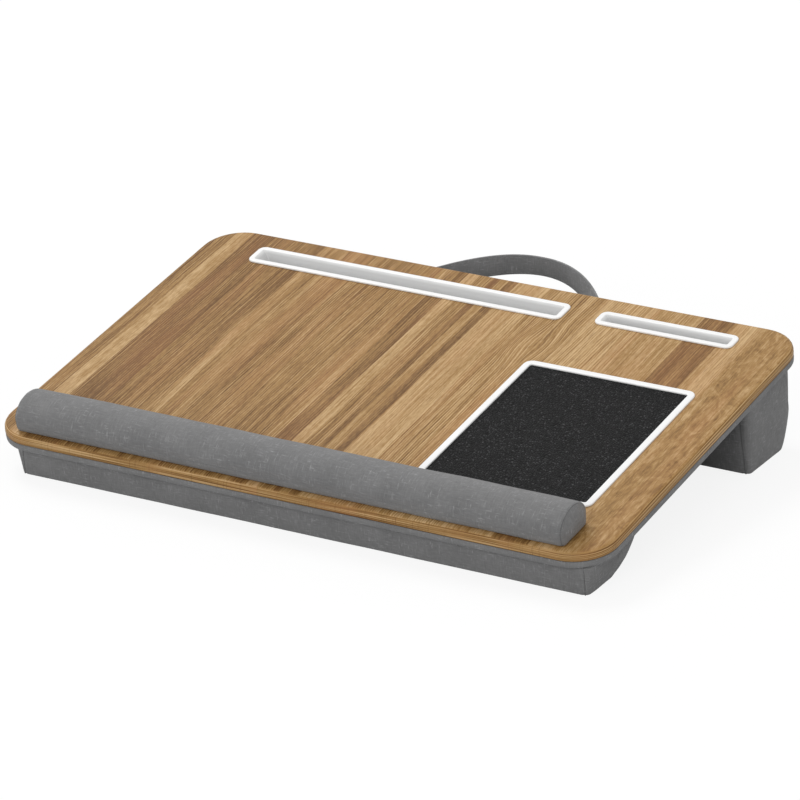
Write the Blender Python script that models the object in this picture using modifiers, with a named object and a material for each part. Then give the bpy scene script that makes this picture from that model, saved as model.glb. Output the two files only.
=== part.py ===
"""Laptop bed tray: a wood-grain board on two fabric cushions, with slots, a mouse mat and a wrist rest.

Metres, +Z up. The user sits at -Y, and the board rises towards +Y. Everything but the ground
cutter hangs on the empty "tray_tilt", whose own frame is the board's: X across the board from
its middle, Y from its front edge to the back, Z square to its top, with 0 on the top.
"""

from math import asin, cos, pi, radians, sin, sqrt, tan

import bmesh
import bpy
from mathutils import Vector

# Board
board_width = 0.600
board_depth = 0.400
board_thickness = 0.008
board_corner_radius = 0.0373
board_edge_round = 0.004
laminate_thickness = 0.0006
board_tilt = radians(8.3)
front_rise = 0.0405  # from the ground to the board's top at its front edge, square to the board

# Base panel under the board
panel_inset = 0.001
panel_core_thickness = 0.005
panel_edge_round = 0.0022
panel_cloth_thickness = 0.0009

# Cushions under the base panel
cushion_depth = 0.0855
front_cushion_length = 0.5660
front_cushion_shift = 0.0055
front_cushion_setback = 0.0065
rear_cushion_length = 0.5860
rear_cushion_setback = 0.0245
cover_thickness = 0.0012
face_bulge = 0.0020
end_bulge = 0.0030
sole_crown = 0.0005  # what the sole would sink by, cut flat where the tray stands
front_heel_depth = 0.0460  # the rounded lower back edge, along the sole
front_heel_height = 0.0300  # and up the back
rear_heel_depth = 0.0300
rear_heel_height = 0.0270

# Wrist rest
wrist_length = 0.5470
wrist_depth = 0.0465
wrist_height = 0.0282
wrist_setback = 0.0055
wrist_shift = -0.0045
wrist_end_bulge = 0.0050
wrist_strip_thickness = 0.0020
wrist_tape_thickness = 0.0008
wrist_tape_width = 0.0200
wrist_tape_length = 0.1500

# Tablet and phone slots
slot_rear_setback = 0.0250
slot_corner_radius = 0.0070
slot_rim_width = 0.0055
slot_rim_height = 0.0018
slot_wall = 0.0015
slot_inside_depth = 0.0160
slot_end_slope = 0.0075
slot_side_draft = 0.0006
tablet_slot_left = 0.0565
tablet_slot_length = 0.3246
tablet_slot_width = 0.0286
phone_slot_left = 0.4120
phone_slot_length = 0.1358
phone_slot_width = 0.0229

# Mouse mat
mat_left = 0.3888
mat_front = 0.0748
mat_width = 0.1665
mat_depth = 0.1989
mat_corner_radius = 0.0085
mat_rim_width = 0.0065
mat_rim_height = 0.0018
mat_leg_inset = 0.0025
mat_leg_thickness = 0.0015
leather_sink = 0.0004
leather_thickness = 0.0010
mat_foam_thickness = 0.0015

# Carrying strap
strap_width = 0.0195
strap_thickness = 0.0035
strap_span = 0.2200
strap_shift = -0.0035
strap_reach = 0.0970  # from the rear cushion's back to the far face of the strap
strap_end_height = 0.0050
strap_bend = 2.05  # how square the loop is: 2 is a parabola
tail_length = 0.0240

# Fits
fit_gap = 0.0003
swing_gap = 0.00035
rim_round = 0.0010
overrun = 0.0200
smooth_angle = radians(40)

# Counts
corner_steps = 9
slot_corner_steps = 6
round_steps = 4
strap_steps = 14
root_steps = 4

# Where the loops of each soft cage lie, from one side to the other
cushion_x_shares = (0.015, 0.08, 0.36, 0.64, 0.92, 0.985)
cushion_y_shares = (0.06, 0.55, 0.80)
cushion_z_shares = (0.12, 0.46, 0.80)
wrist_x_shares = (0.02, 0.07, 0.36, 0.64, 0.93, 0.98)
wrist_y_shares = (0.16, 0.50, 0.84)
wrist_z_shares = (0.25, 0.62)
flat_back_share = 0.30  # the top part of the rear cushion's back, held flat by the strap's seam
wrist_foot_share = 0.80  # how wide the wrist rest's foot is, of its width
wrist_shoulder_share = 0.66  # how high its long edges are, of its height
middle_share = 0.50

# What follows from the sizes
half_width = board_width / 2
half_depth = board_depth / 2
skin = laminate_thickness + fit_gap
panel_top = -board_thickness - fit_gap
panel_core_bottom = panel_top - panel_core_thickness
panel_bottom = panel_core_bottom - fit_gap - panel_cloth_thickness
cushion_top = panel_bottom - fit_gap
rear_cushion_back = board_depth - rear_cushion_setback
foam_inset = cover_thickness + fit_gap
slot_rear = board_depth - slot_rear_setback
slot_bottom = -slot_inside_depth - slot_wall
strap_half = strap_width / 2
strap_middle_z = cushion_top - strap_half
tail_height = strap_width - 2 * fit_gap
hinge_y = rear_cushion_back + swing_gap + strap_half
strap_root_y = hinge_y - sqrt(strap_half**2 - (strap_end_height / 2) ** 2)
strap_apex_y = rear_cushion_back + strap_reach - strap_thickness / 2
strap_rise = strap_apex_y - strap_root_y
mat_seat_inset = mat_leg_inset + mat_leg_thickness + fit_gap
leather_bottom = -leather_sink - leather_thickness
mat_foam_bottom = leather_bottom - fit_gap - mat_foam_thickness
mat_pocket_bottom = mat_foam_bottom - fit_gap
wrist_bottom = fit_gap
wrist_strip_bottom = fit_gap + wrist_tape_thickness + fit_gap
wrist_strip_top = wrist_strip_bottom + wrist_strip_thickness

# The origin is on the ground, below the middle of the whole tray's outline
front_most = board_edge_round * (cos(board_tilt) + sin(board_tilt) - 1)
strap_low = strap_middle_z - strap_half
rear_most = (rear_cushion_back + strap_reach) * cos(board_tilt) - strap_low * sin(board_tilt)
origin_back = (front_most + rear_most) / 2
board_lift = front_rise * cos(board_tilt)


def ground_z(y):
    """The ground's place in the board's frame, below a point y from the front edge."""
    return -front_rise - y * tan(board_tilt)


def clear_scene():
    for item in list(bpy.data.objects):
        bpy.data.objects.remove(item)


def new_collection(name):
    collection = bpy.data.collections.new(name)
    bpy.context.scene.collection.children.link(collection)
    return collection


def new_material(name, colour, roughness, metallic=0.0):
    material = bpy.data.materials.new(name)
    material.use_nodes = True
    shader = material.node_tree.nodes["Principled BSDF"]
    shader.inputs["Base Color"].default_value = (*colour, 1)
    shader.inputs["Roughness"].default_value = roughness
    shader.inputs["Metallic"].default_value = metallic
    material.diffuse_color = (*colour, 1)
    return material


def new_empty(name, location, parent=None):
    empty = bpy.data.objects.new(name, None)
    parts.objects.link(empty)
    empty.location = location
    empty.parent = parent
    return empty


def new_object(name, mesh_maker, collection, parent, material=None, smooth=True):
    """An object from a bmesh, facing out, parented to one of the empties."""
    bmesh.ops.recalc_face_normals(mesh_maker, faces=mesh_maker.faces)
    if all(edge.is_manifold for edge in mesh_maker.edges) and mesh_maker.calc_volume(signed=True) < 0:
        bmesh.ops.reverse_faces(mesh_maker, faces=mesh_maker.faces)
    mesh = bpy.data.meshes.new(name)
    mesh_maker.to_mesh(mesh)
    mesh_maker.free()
    if smooth:
        mesh.shade_smooth()
        mesh.set_sharp_from_angle(angle=smooth_angle)
    if material:
        mesh.materials.append(material)
    item = bpy.data.objects.new(name, mesh)
    item.parent = parent
    collection.objects.link(item)
    return item


def add_part(name, mesh_maker, material, parent=None, smooth=True):
    return new_object(name, mesh_maker, parts, parent or tray_tilt, material, smooth)


def add_cutter(name, mesh_maker, parent):
    cutter = new_object(name, mesh_maker, cutters, parent, smooth=False)
    cutter.hide_render = True
    cutter.display_type = "WIRE"
    return cutter


def cut(item, *tools):
    for tool in tools:
        modifier = item.modifiers.new("cut_" + tool.name, "BOOLEAN")
        modifier.operation = "DIFFERENCE"
        modifier.object = tool


def box(low, high):
    """A cube primitive from its low corner to its high one."""
    cube = bmesh.new()
    bmesh.ops.create_cube(cube, size=1)
    low, high = Vector(low), Vector(high)
    bmesh.ops.scale(cube, vec=high - low, verts=cube.verts)
    bmesh.ops.translate(cube, vec=(low + high) / 2, verts=cube.verts)
    return cube


def rounded_rectangle(centre, half_x, half_y, radius, z, steps):
    points = []
    for turn, (side_x, side_y) in enumerate(((1, 1), (-1, 1), (-1, -1), (1, -1))):
        corner_x = centre[0] + side_x * (half_x - radius)
        corner_y = centre[1] + side_y * (half_y - radius)
        for step in range(steps + 1):
            angle = (turn + step / steps) * pi / 2
            points.append(Vector((corner_x + radius * cos(angle), corner_y + radius * sin(angle), z)))
    return points


def loft(rings, closed=False):
    """A solid through rings of as many points each: capped at both ends, or closed on itself."""
    solid = bmesh.new()
    loops = [[solid.verts.new(point) for point in ring] for ring in rings]
    if closed:
        loops.append(loops[0])
    else:
        solid.faces.new(loops[0])
        solid.faces.new(loops[-1])
    for lower, upper in zip(loops, loops[1:]):
        for near, far in zip(range(-1, len(lower) - 1), range(len(lower))):
            solid.faces.new((lower[near], lower[far], upper[far], upper[near]))
    return solid


def outline_rings(outline, section, steps):
    """Rings of a rounded rectangle (centre, half_x, half_y, radius), one for each (inset, z)."""
    centre, half_x, half_y, radius = outline
    return [
        rounded_rectangle(centre, half_x - inset, half_y - inset, radius - inset, z, steps)
        for inset, z in section
    ]


def quarter_round(inset, z, radius, turn_in, turn_up, steps=round_steps):
    """Points (inset, z) round a quarter circle from the side, at inset, to the face at z.

    turn_in is 1 where the face lies at larger insets, and turn_up is 1 where it looks up."""
    points = []
    for step in range(steps + 1):
        angle = step / steps * pi / 2
        points.append((inset + turn_in * radius * (1 - cos(angle)), z - turn_up * radius * (1 - sin(angle))))
    return points


clear_scene()
parts = new_collection("laptop_bed_tray")
cutters = new_collection("cutters")
tray_tilt = new_empty("tray_tilt", (0, -origin_back, board_lift))
tray_tilt.rotation_euler = (board_tilt, 0, 0)
strap_hinge = new_empty("strap_hinge", (strap_shift, hinge_y, strap_middle_z), tray_tilt)

wood = new_material("oak_laminate", (0.50, 0.31, 0.15), 0.45)
fibreboard = new_material("fibreboard", (0.42, 0.30, 0.19), 0.8)
white_plastic = new_material("white_plastic", (0.86, 0.86, 0.86), 0.35)
leather = new_material("black_leather", (0.018, 0.018, 0.019), 0.5)
cloth = new_material("grey_cloth", (0.19, 0.19, 0.195), 0.9)
foam = new_material("foam", (0.75, 0.73, 0.62), 0.95)
strip_plastic = new_material("strip_plastic", (0.08, 0.08, 0.08), 0.6)
tape = new_material("tape", (0.55, 0.55, 0.52), 0.7)

board_centre = (0, half_depth)


# Cutters for the two slots and the mouse mat
def slot_outline(left, length, width):
    """The rim's outline of a slot: centre, half sizes and corner radius."""
    return ((left + length / 2 - half_width, slot_rear - width / 2), length / 2, width / 2, slot_corner_radius)


def slot_hole(name, outline):
    inset = slot_rim_width - slot_wall - fit_gap
    section = [(inset, slot_bottom - fit_gap), (inset, overrun)]
    return add_cutter(name, loft(outline_rings(outline, section, slot_corner_steps)), tray_tilt)


tablet_slot_outline = slot_outline(tablet_slot_left, tablet_slot_length, tablet_slot_width)
phone_slot_outline = slot_outline(phone_slot_left, phone_slot_length, phone_slot_width)
tablet_hole = slot_hole("tablet_hole", tablet_slot_outline)
phone_hole = slot_hole("phone_hole", phone_slot_outline)

mat_outline = (
    (mat_left + mat_width / 2 - half_width, mat_front + mat_depth / 2),
    mat_width / 2,
    mat_depth / 2,
    mat_corner_radius,
)
mat_pocket_inset = mat_leg_inset - fit_gap
mat_pocket = add_cutter(
    "mat_pocket",
    loft(
        outline_rings(
            mat_outline,
            [(mat_pocket_inset, mat_pocket_bottom), (mat_pocket_inset, overrun)],
            slot_corner_steps,
        )
    ),
    tray_tilt,
)


# Board: a fibreboard core under a laminate that wraps its rounded edge
def board_outline(inset):
    return (board_centre, half_width - inset, half_depth - inset, board_corner_radius - inset)


def add_board_core():
    section = [(0, -board_thickness), *quarter_round(0, -skin, board_edge_round - skin, 1, 1)]
    core = add_part("board_core", loft(outline_rings(board_outline(skin), section, corner_steps)), fibreboard)
    cut(core, tablet_hole, phone_hole, mat_pocket)


def add_board_laminate():
    outside = [(0, -board_thickness), *quarter_round(0, 0, board_edge_round, 1, 1)]
    inner_round = board_edge_round - laminate_thickness
    inside = [
        (laminate_thickness, -board_thickness),
        *quarter_round(laminate_thickness, -laminate_thickness, inner_round, 1, 1),
    ]
    section = [*reversed(outside), *inside]
    laminate = add_part("board_laminate", loft(outline_rings(board_outline(0), section, corner_steps)), wood)
    cut(laminate, tablet_hole, phone_hole, mat_pocket)


# Base panel: a thin core in a cloth that wraps its edge and underside
def add_panel_core():
    inset = panel_inset + panel_cloth_thickness + fit_gap
    section = [
        *reversed(quarter_round(0, panel_core_bottom, panel_edge_round, 1, -1)),
        (0, panel_top),
    ]
    core = add_part("panel_core", loft(outline_rings(board_outline(inset), section, corner_steps)), fibreboard)
    cut(core, tablet_hole, phone_hole)


def add_panel_cloth():
    outer_round = panel_edge_round + fit_gap + panel_cloth_thickness
    outside = [*reversed(quarter_round(0, panel_bottom, outer_round, 1, -1)), (0, panel_top)]
    inside = [
        (panel_cloth_thickness, panel_top),
        *quarter_round(
            panel_cloth_thickness, panel_bottom + panel_cloth_thickness, panel_edge_round + fit_gap, 1, -1
        ),
    ]
    section = [*outside, *inside]
    wrap = add_part("panel_cloth", loft(outline_rings(board_outline(panel_inset), section, corner_steps)), cloth)
    cut(wrap, tablet_hole, phone_hole)


# Slots: a moulded trough with a raised rim, drafted sides and sloping ends
def slot_ring(outline, inset, ends, z):
    """One ring of a trough: inset all round, and drawn in by another length at the two ends."""
    centre, half_x, half_y, radius = outline
    corner = max(radius - inset, rim_round)
    return rounded_rectangle(centre, half_x - inset - ends, half_y - inset, corner, z, slot_corner_steps)


def add_slot_tray(name, outline):
    wall_inset = slot_rim_width - slot_wall
    floor_wall_inset = wall_inset + slot_side_draft
    floor_inset = slot_rim_width + slot_side_draft
    rim_outer = quarter_round(0, slot_rim_height, rim_round, 1, 1)
    rim_inner = quarter_round(slot_rim_width, slot_rim_height, rim_round, -1, 1)
    rings = [
        slot_ring(outline, floor_wall_inset, slot_end_slope, slot_bottom),
        slot_ring(outline, wall_inset, 0, fit_gap),
        slot_ring(outline, 0, 0, fit_gap),
        *(slot_ring(outline, inset, 0, z) for inset, z in rim_outer),
        *(slot_ring(outline, inset, 0, z) for inset, z in reversed(rim_inner)),
        slot_ring(outline, floor_inset, slot_end_slope, -slot_inside_depth),
    ]
    add_part(name, loft(rings), white_plastic)


# Mouse mat: a frame whose leg stands in the pocket, over leather on a thin foam
def add_mat_frame():
    lip_bottom = -leather_sink + fit_gap
    leg_bottom = mat_pocket_bottom + fit_gap
    section = [
        (mat_leg_inset, fit_gap),
        (0, fit_gap),
        *quarter_round(0, mat_rim_height, rim_round, 1, 1),
        *reversed(quarter_round(mat_rim_width, mat_rim_height, rim_round, -1, 1)),
        (mat_rim_width, lip_bottom),
        (mat_leg_inset + mat_leg_thickness, lip_bottom),
        (mat_leg_inset + mat_leg_thickness, leg_bottom),
        (mat_leg_inset, leg_bottom),
    ]
    add_part("mat_frame", loft(outline_rings(mat_outline, section, slot_corner_steps), closed=True), white_plastic)


def add_mat_layer(name, low, high, material):
    section = [(mat_seat_inset, low), (mat_seat_inset, high)]
    add_part(name, loft(outline_rings(mat_outline, section, slot_corner_steps)), material)


# Soft pieces: a coarse cage from a cut cube, placed by a function and subdivided
def soft_cage(x_shares, y_shares, z_shares, place, open_side):
    """open_side is 1 to leave out the top, -1 the underside, and 0 neither."""
    cage = bmesh.new()
    bmesh.ops.create_cube(cage, size=1)
    for axis, shares in enumerate((x_shares, y_shares, z_shares)):
        across = Vector((axis == 0, axis == 1, axis == 2))
        for share in shares:
            everything = cage.verts[:] + cage.edges[:] + cage.faces[:]
            bmesh.ops.bisect_plane(
                cage, geom=everything, plane_co=across * (share - middle_share), plane_no=across
            )
    if open_side:
        lid = [face for face in cage.faces if face.normal.z * open_side > middle_share]
        bmesh.ops.delete(cage, geom=lid, context="FACES")
    for vert in cage.verts:
        vert.co = place(*vert.co)
    return cage


def hump(share):
    """1 in the middle of a side and 0 at its two ends, for a share from -0.5 to 0.5."""
    return 1 - (2 * share) ** 2


def round_heel(heel, from_back, up):
    """Moves a point near the lower back edge onto a rounded one.

    heel is the round's depth and height, and up is the point's height over the sole."""
    depth, height = heel
    inner = max(0, 1 - from_back / depth)
    lower = max(0, 1 - up / height)
    from_back += depth * inner * (1 - sqrt(1 - lower**2 / 2))
    return from_back, up + height * lower * (1 - sqrt(1 - inner**2 / 2))


def cushion_place(front, length, shift, heel, top, flat_back):
    """Where a cushion's cage goes: between two faces, from the base panel down to the ground."""

    def place(x, y, z):
        from_top = middle_share - z
        from_back = (middle_share - y) * cushion_depth
        height = top - ground_z(front + cushion_depth - from_back) + sole_crown
        from_back, up = round_heel(heel, from_back, (z + middle_share) * height)
        across = front + cushion_depth - from_back
        if flat_back and y > 0:
            swell = hump(min((from_top - flat_back_share) / (1 - flat_back_share) - middle_share, 1))
            swell = swell if from_top > flat_back_share else 0
        else:
            swell = hump(z)
        across += face_bulge * swell * hump(x) * 2 * y * abs(2 * y)
        along = 2 * x * (length / 2 + end_bulge * hump(z) * hump(y) * (2 * x) ** 2)
        return Vector((shift + along, across, ground_z(across) - sole_crown + up))

    return place


def add_subdivision(item):
    modifier = item.modifiers.new("rounded", "SUBSURF")
    modifier.levels = 1
    modifier.render_levels = 1


def add_cover(name, cage):
    cover = add_part(name, cage, cloth)
    add_subdivision(cover)
    modifier = cover.modifiers.new("cloth_thickness", "SOLIDIFY")
    modifier.thickness = cover_thickness
    modifier.offset = -1
    modifier.use_even_offset = True
    return cover


def add_filling(name, cage):
    """The foam inside a cover: the same form, drawn in by the cloth and a gap."""
    filling = add_part(name, cage, foam)
    add_subdivision(filling)
    modifier = filling.modifiers.new("drawn_in", "DISPLACE")
    modifier.direction = "NORMAL"
    modifier.mid_level = 0
    modifier.strength = -foam_inset
    return filling


def add_cushion(name, front, length, shift, heel, flat_back, *pockets):
    shares = (cushion_x_shares, cushion_y_shares, cushion_z_shares)
    cover_place = cushion_place(front, length, shift, heel, cushion_top, flat_back)
    cover = add_cover(name + "_cover", soft_cage(*shares, cover_place, 1))
    filling_place = cushion_place(front, length, shift, heel, cushion_top + foam_inset, flat_back)
    filling = add_filling(name + "_foam", soft_cage(*shares, filling_place, 0))
    cut(cover, ground)
    cut(filling, *pockets)


def wrist_place(lowest):
    """Where the wrist rest's cage goes: a domed loaf, cut off at the lowest height."""
    half_length = wrist_length / 2 - wrist_end_bulge
    middle = wrist_setback + wrist_depth / 2

    def place(x, y, z):
        up = z + middle_share
        drawn_in = wrist_foot_share + (1 - wrist_foot_share) * min(2 * up, 1)
        shoulder = 1 - (1 - wrist_shoulder_share) * (1 - hump(y)) * up
        across = middle + y * wrist_depth * drawn_in
        along = 2 * x * (half_length + wrist_end_bulge * hump(z) * hump(y) * (2 * x) ** 2)
        rise = wrist_bottom + up * (wrist_height - wrist_bottom) * shoulder
        return Vector((wrist_shift + along, across, max(rise, lowest)))

    return place


def add_wrist_rest():
    shares = (wrist_x_shares, wrist_y_shares, wrist_z_shares)
    add_cover("wrist_cover", soft_cage(*shares, wrist_place(wrist_bottom), -1))
    filling_bottom = wrist_strip_top + fit_gap - foam_inset
    add_filling("wrist_foam", soft_cage(*shares, wrist_place(filling_bottom), 0))
    middle = wrist_setback + wrist_depth / 2
    strip_half_y = wrist_depth * wrist_foot_share / 2 - foam_inset
    strip_half_x = wrist_length / 2 - wrist_end_bulge - foam_inset - strip_half_y / 2
    strip = (
        (wrist_shift, middle),
        strip_half_x,
        strip_half_y,
        strip_half_y / 2,
    )
    section = [(0, wrist_strip_bottom), (0, wrist_strip_top)]
    add_part("wrist_strip", loft(outline_rings(strip, section, round_steps)), strip_plastic)
    for side, word in ((-1, "left"), (1, "right")):
        centre_x = wrist_shift + side * wrist_length / 4
        low = (centre_x - wrist_tape_length / 2, middle - wrist_tape_width / 2, fit_gap)
        high = (
            centre_x + wrist_tape_length / 2,
            middle + wrist_tape_width / 2,
            fit_gap + wrist_tape_thickness,
        )
        add_part("wrist_tape_" + word, box(low, high), tape, smooth=False)


# Strap: a band on edge that loops out behind, with both ends sewn to the rear cushion
def strap_ring(x, y, half_height):
    """Four corners of the band's section, in the hinge's frame, for a point on its middle line."""
    share = min(abs(x) / (strap_span / 2), 1)
    slope = strap_rise * strap_bend * share ** (strap_bend - 1) / (strap_span / 2)
    outward = Vector((slope if x > 0 else -slope, 1, 0))
    if y < hinge_y:
        outward.y = 0  # beside the cushion the ends are cut in line with its back
    outward = outward.normalized() * strap_thickness / 2
    centre = Vector((x, y - hinge_y, 0))
    up = Vector((0, 0, half_height))
    return [centre + outward + up, centre - outward + up, centre - outward - up, centre + outward - up]


def strap_x(y):
    return strap_span / 2 * ((strap_apex_y - y) / strap_rise) ** (1 / strap_bend)


def add_strap():
    first_angle = asin(strap_end_height / 2 / strap_half)
    half = []
    for step in range(root_steps):
        angle = first_angle + (pi / 2 - first_angle) * step / root_steps
        y = hinge_y - strap_half * cos(angle)
        half.append((strap_x(y), y, strap_half * sin(angle)))
    widest = strap_x(hinge_y)
    for step in range(strap_steps):
        x = widest * (1 - step / strap_steps)
        half.append((x, strap_apex_y - strap_rise * (x / (strap_span / 2)) ** strap_bend, strap_half))
    middle = [(0, strap_apex_y, strap_half)]
    stations = [(-x, y, height) for x, y, height in half] + middle + list(reversed(half))
    add_part("carry_strap", loft([strap_ring(*station) for station in stations]), cloth, strap_hinge)


def tail_box(side, grow):
    """One sewn end of the strap, flat on the inside of the rear cushion's back, grown all round."""
    middle_x = strap_shift + side * strap_span / 2
    back = rear_cushion_back - cover_thickness - fit_gap
    low = (middle_x - tail_length / 2, back - strap_thickness / 2, strap_middle_z - tail_height / 2)
    high = (middle_x + tail_length / 2, back, strap_middle_z + tail_height / 2)
    reach = Vector((grow, grow, grow))
    return box(Vector(low) - reach, Vector(high) + reach)


def add_strap_tails():
    pockets = []
    for side, word in ((-1, "left"), (1, "right")):
        add_part("strap_tail_" + word, tail_box(side, 0), cloth, smooth=False)
        pockets.append(add_cutter("tail_pocket_" + word, tail_box(side, 2 * fit_gap), tray_tilt))
    return pockets


add_board_core()
add_board_laminate()
add_panel_core()
add_panel_cloth()
add_slot_tray("tablet_slot", tablet_slot_outline)
add_slot_tray("phone_slot", phone_slot_outline)
add_mat_frame()
add_mat_layer("mat_leather", leather_bottom, -leather_sink, leather)
add_mat_layer("mat_foam", mat_foam_bottom, mat_foam_bottom + mat_foam_thickness, foam)
add_wrist_rest()
add_strap()
tail_pockets = add_strap_tails()
ground = add_cutter(
    "ground",
    box((-board_width, -board_depth, -front_rise), (board_width, 2 * board_depth, 0)),
    None,
)
add_cushion(
    "front",
    front_cushion_setback,
    front_cushion_length,
    front_cushion_shift,
    (front_heel_depth, front_heel_height),
    False,
    ground,
)
add_cushion(
    "rear",
    rear_cushion_back - cushion_depth,
    rear_cushion_length,
    0,
    (rear_heel_depth, rear_heel_height),
    True,
    ground,
    tablet_hole,
    phone_hole,
    *tail_pockets,
)
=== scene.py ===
"""Dressed model of a laptop bed tray, laid out as a Blender add-on and run as a script.

Metres, +Z up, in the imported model's own frame. The user sits at -Y. A point "on the board" is
given across from the board's middle, back from its front edge and up from its top face.
"""

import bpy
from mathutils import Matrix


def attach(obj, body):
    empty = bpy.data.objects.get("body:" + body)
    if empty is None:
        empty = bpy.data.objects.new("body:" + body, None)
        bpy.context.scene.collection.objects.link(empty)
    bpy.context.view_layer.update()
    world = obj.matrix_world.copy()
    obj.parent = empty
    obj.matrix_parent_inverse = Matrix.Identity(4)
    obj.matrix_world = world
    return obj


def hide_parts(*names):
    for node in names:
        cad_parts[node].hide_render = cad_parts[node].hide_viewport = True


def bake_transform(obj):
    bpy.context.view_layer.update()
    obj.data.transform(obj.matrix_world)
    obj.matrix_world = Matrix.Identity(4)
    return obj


bl_info = {
    "name": "Laptop bed tray",
    "version": (1, 0, 0),
    "blender": (4, 5, 0),
    "location": "View3D > Sidebar > Bed tray",
    "description": "Wood-grain board on two sewn cushions, with slots, a mouse mat and a wrist rest",
    "category": "Object",
}

from math import atan2, cos, exp, pi, radians, sin, tan

import bmesh
import bpy
from mathutils import Matrix, Vector, noise
from mathutils.bvhtree import BVHTree
from mathutils.kdtree import KDTree

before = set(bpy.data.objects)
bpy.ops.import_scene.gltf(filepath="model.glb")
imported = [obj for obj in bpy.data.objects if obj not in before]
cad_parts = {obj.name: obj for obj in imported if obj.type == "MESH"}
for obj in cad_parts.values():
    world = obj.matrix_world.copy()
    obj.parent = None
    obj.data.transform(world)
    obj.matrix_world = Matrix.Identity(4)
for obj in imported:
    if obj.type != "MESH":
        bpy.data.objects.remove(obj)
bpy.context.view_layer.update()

# The board's sizes, and where it lies in the model's frame
board_tilt = radians(8.3)
board_width = 0.600
board_depth = 0.400
board_corner = 0.0373
board_front = -0.23651894
front_rise = 0.0405
board_origin = Vector((0, board_front, front_rise * cos(board_tilt)))
board_place = Matrix.Translation(board_origin) @ Matrix.Rotation(board_tilt, 4, "X")
off_board = board_place.inverted()

# The underside that the cushions hang from, and where they lie
cushion_top = -0.0148
cushion_depth = 0.0855
front_cushion_front = 0.0065
front_cushion_length = 0.5680
front_cushion_shift = 0.0065
rear_cushion_back = 0.3755
rear_cushion_length = 0.5860

# How far apart the points of a sewn piece lie before it swells
cell = 0.0045

# Mouse mat: its middle on the board, its sizes, and the frame round its leather
mat_middle = (0.17265, 0.17175)
mat_width = 0.1669
mat_depth = 0.2039
mat_corner = 0.0085
mat_rim_width = 0.0065
mat_rim_height = 0.0018
mat_rim_round = 0.0010
mat_rim_foot = 0.0002
leather_top = 0.0004
leather_play = 0.0001

# Wrist rest and strap
wrist_middle = Vector((-0.0045, 0.02875, 0.0006))
wrist_length = 0.5470
wrist_depth = 0.0465
wrist_height = 0.0282
strap_shift = -0.0035
strap_span = 0.2200
strap_reach = 0.0970
strap_bend = 2.05
strap_width = 0.0195
strap_thickness = 0.0035
strap_middle = cushion_top - strap_width / 2


def ground_under(back):
    """How far up from the board's top the ground lies, at a distance back from its front edge."""
    return -front_rise - back * tan(board_tilt)


# Settings


def colour_setting(name, description, default):
    return bpy.props.FloatVectorProperty(
        name=name, description=description, subtype="COLOR", size=3, default=default
    )


def length_setting(name, description, default, least):
    return bpy.props.FloatProperty(
        name=name, description=description, unit="LENGTH", default=default, min=least, max=0.01
    )


class BoardSettings(bpy.types.PropertyGroup):
    """Finish of the wood-grain laminate."""

    pale_wood: colour_setting("Pale staves", "Colour of the palest staves", (0.600, 0.405, 0.205))
    warm_wood: colour_setting("Warm staves", "Colour of most staves", (0.345, 0.197, 0.068))
    dark_wood: colour_setting("Dark staves", "Colour of the darkest staves", (0.140, 0.064, 0.018))
    line_pitch: length_setting("Line pitch", "Distance between two grain lines", 0.0024, 0.0005)


class ClothSettings(bpy.types.PropertyGroup):
    """The grey cloth of the cushions, the wrist rest, the base panel and the strap."""

    yarn: colour_setting("Yarn", "Colour of the grey yarn", (0.205, 0.205, 0.206))
    yarn_pitch: length_setting("Yarn pitch", "Distance between two threads", 0.0008, 0.0002)
    puff: length_setting("Puff", "Most that a cushion's cloth swells", 0.0022, 0)


class TrimSettings(bpy.types.PropertyGroup):
    """Finish of the white plastic trim and of the mouse mat."""

    plastic: colour_setting("Plastic", "Colour of the moulded trim", (0.90, 0.90, 0.895))
    leather: colour_setting("Leather", "Colour of the mat", (0.0078, 0.0078, 0.0081))
    pebble: length_setting("Pebble", "Width of one pebble of the mat's grain", 0.0022, 0.0003)


# Node steps


def add_step(tree, kind, inputs, output=0, **settings):
    """Adds one node. Each input is a socket to link or a plain value."""
    step = tree.nodes.new("ShaderNode" + kind)
    for name, value in settings.items():
        setattr(step, name, value)
    for key, value in inputs.items():
        if isinstance(value, bpy.types.NodeSocket):
            tree.links.new(value, step.inputs[key])
        else:
            step.inputs[key].default_value = value
    return step.outputs[output]


# Each step below goes into the tree of its first socket


def sum_up(operation, *values):
    """One step of arithmetic on its inputs, in order."""
    return add_step(values[0].id_data, "Math", dict(enumerate(values)), operation=operation)


def spread(value, low, high, new_low=0, new_high=1):
    """Maps a value from one range to another, held inside it."""
    return add_step(value.id_data, "MapRange", {0: value, 1: low, 2: high, 3: new_low, 4: new_high})


def add_share(level, value, weight):
    """The level with a weighted value added to it."""
    return sum_up("ADD", level, sum_up("MULTIPLY", value, weight))


def split(place):
    """The three parts of a place."""
    parts = place.id_data.nodes.new("ShaderNodeSeparateXYZ")
    place.id_data.links.new(place, parts.inputs[0])
    return parts.outputs


def blend_colours(share, first, second):
    first = (*first, 1) if isinstance(first, tuple) else first
    second = (*second, 1) if isinstance(second, tuple) else second
    inputs = {0: share, 6: first, 7: second}
    return add_step(share.id_data, "Mix", inputs, output=2, data_type="RGBA")


def shaded(colour, share):
    """A colour made darker or paler by a share."""
    return tuple(share * value for value in colour)


def stretch(place, scale, turn=(0, 0, 0)):
    """The same place, measured in other units along each of its directions."""
    return add_step(place.id_data, "Mapping", {0: place, 2: turn, 3: scale})


def cloudy(place, scale, detail=2.0, roughness=0.5, distortion=0.0):
    inputs = {"Vector": place, "Scale": scale, "Detail": detail, "Roughness": roughness}
    return add_step(place.id_data, "TexNoise", inputs | {"Distortion": distortion})


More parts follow.
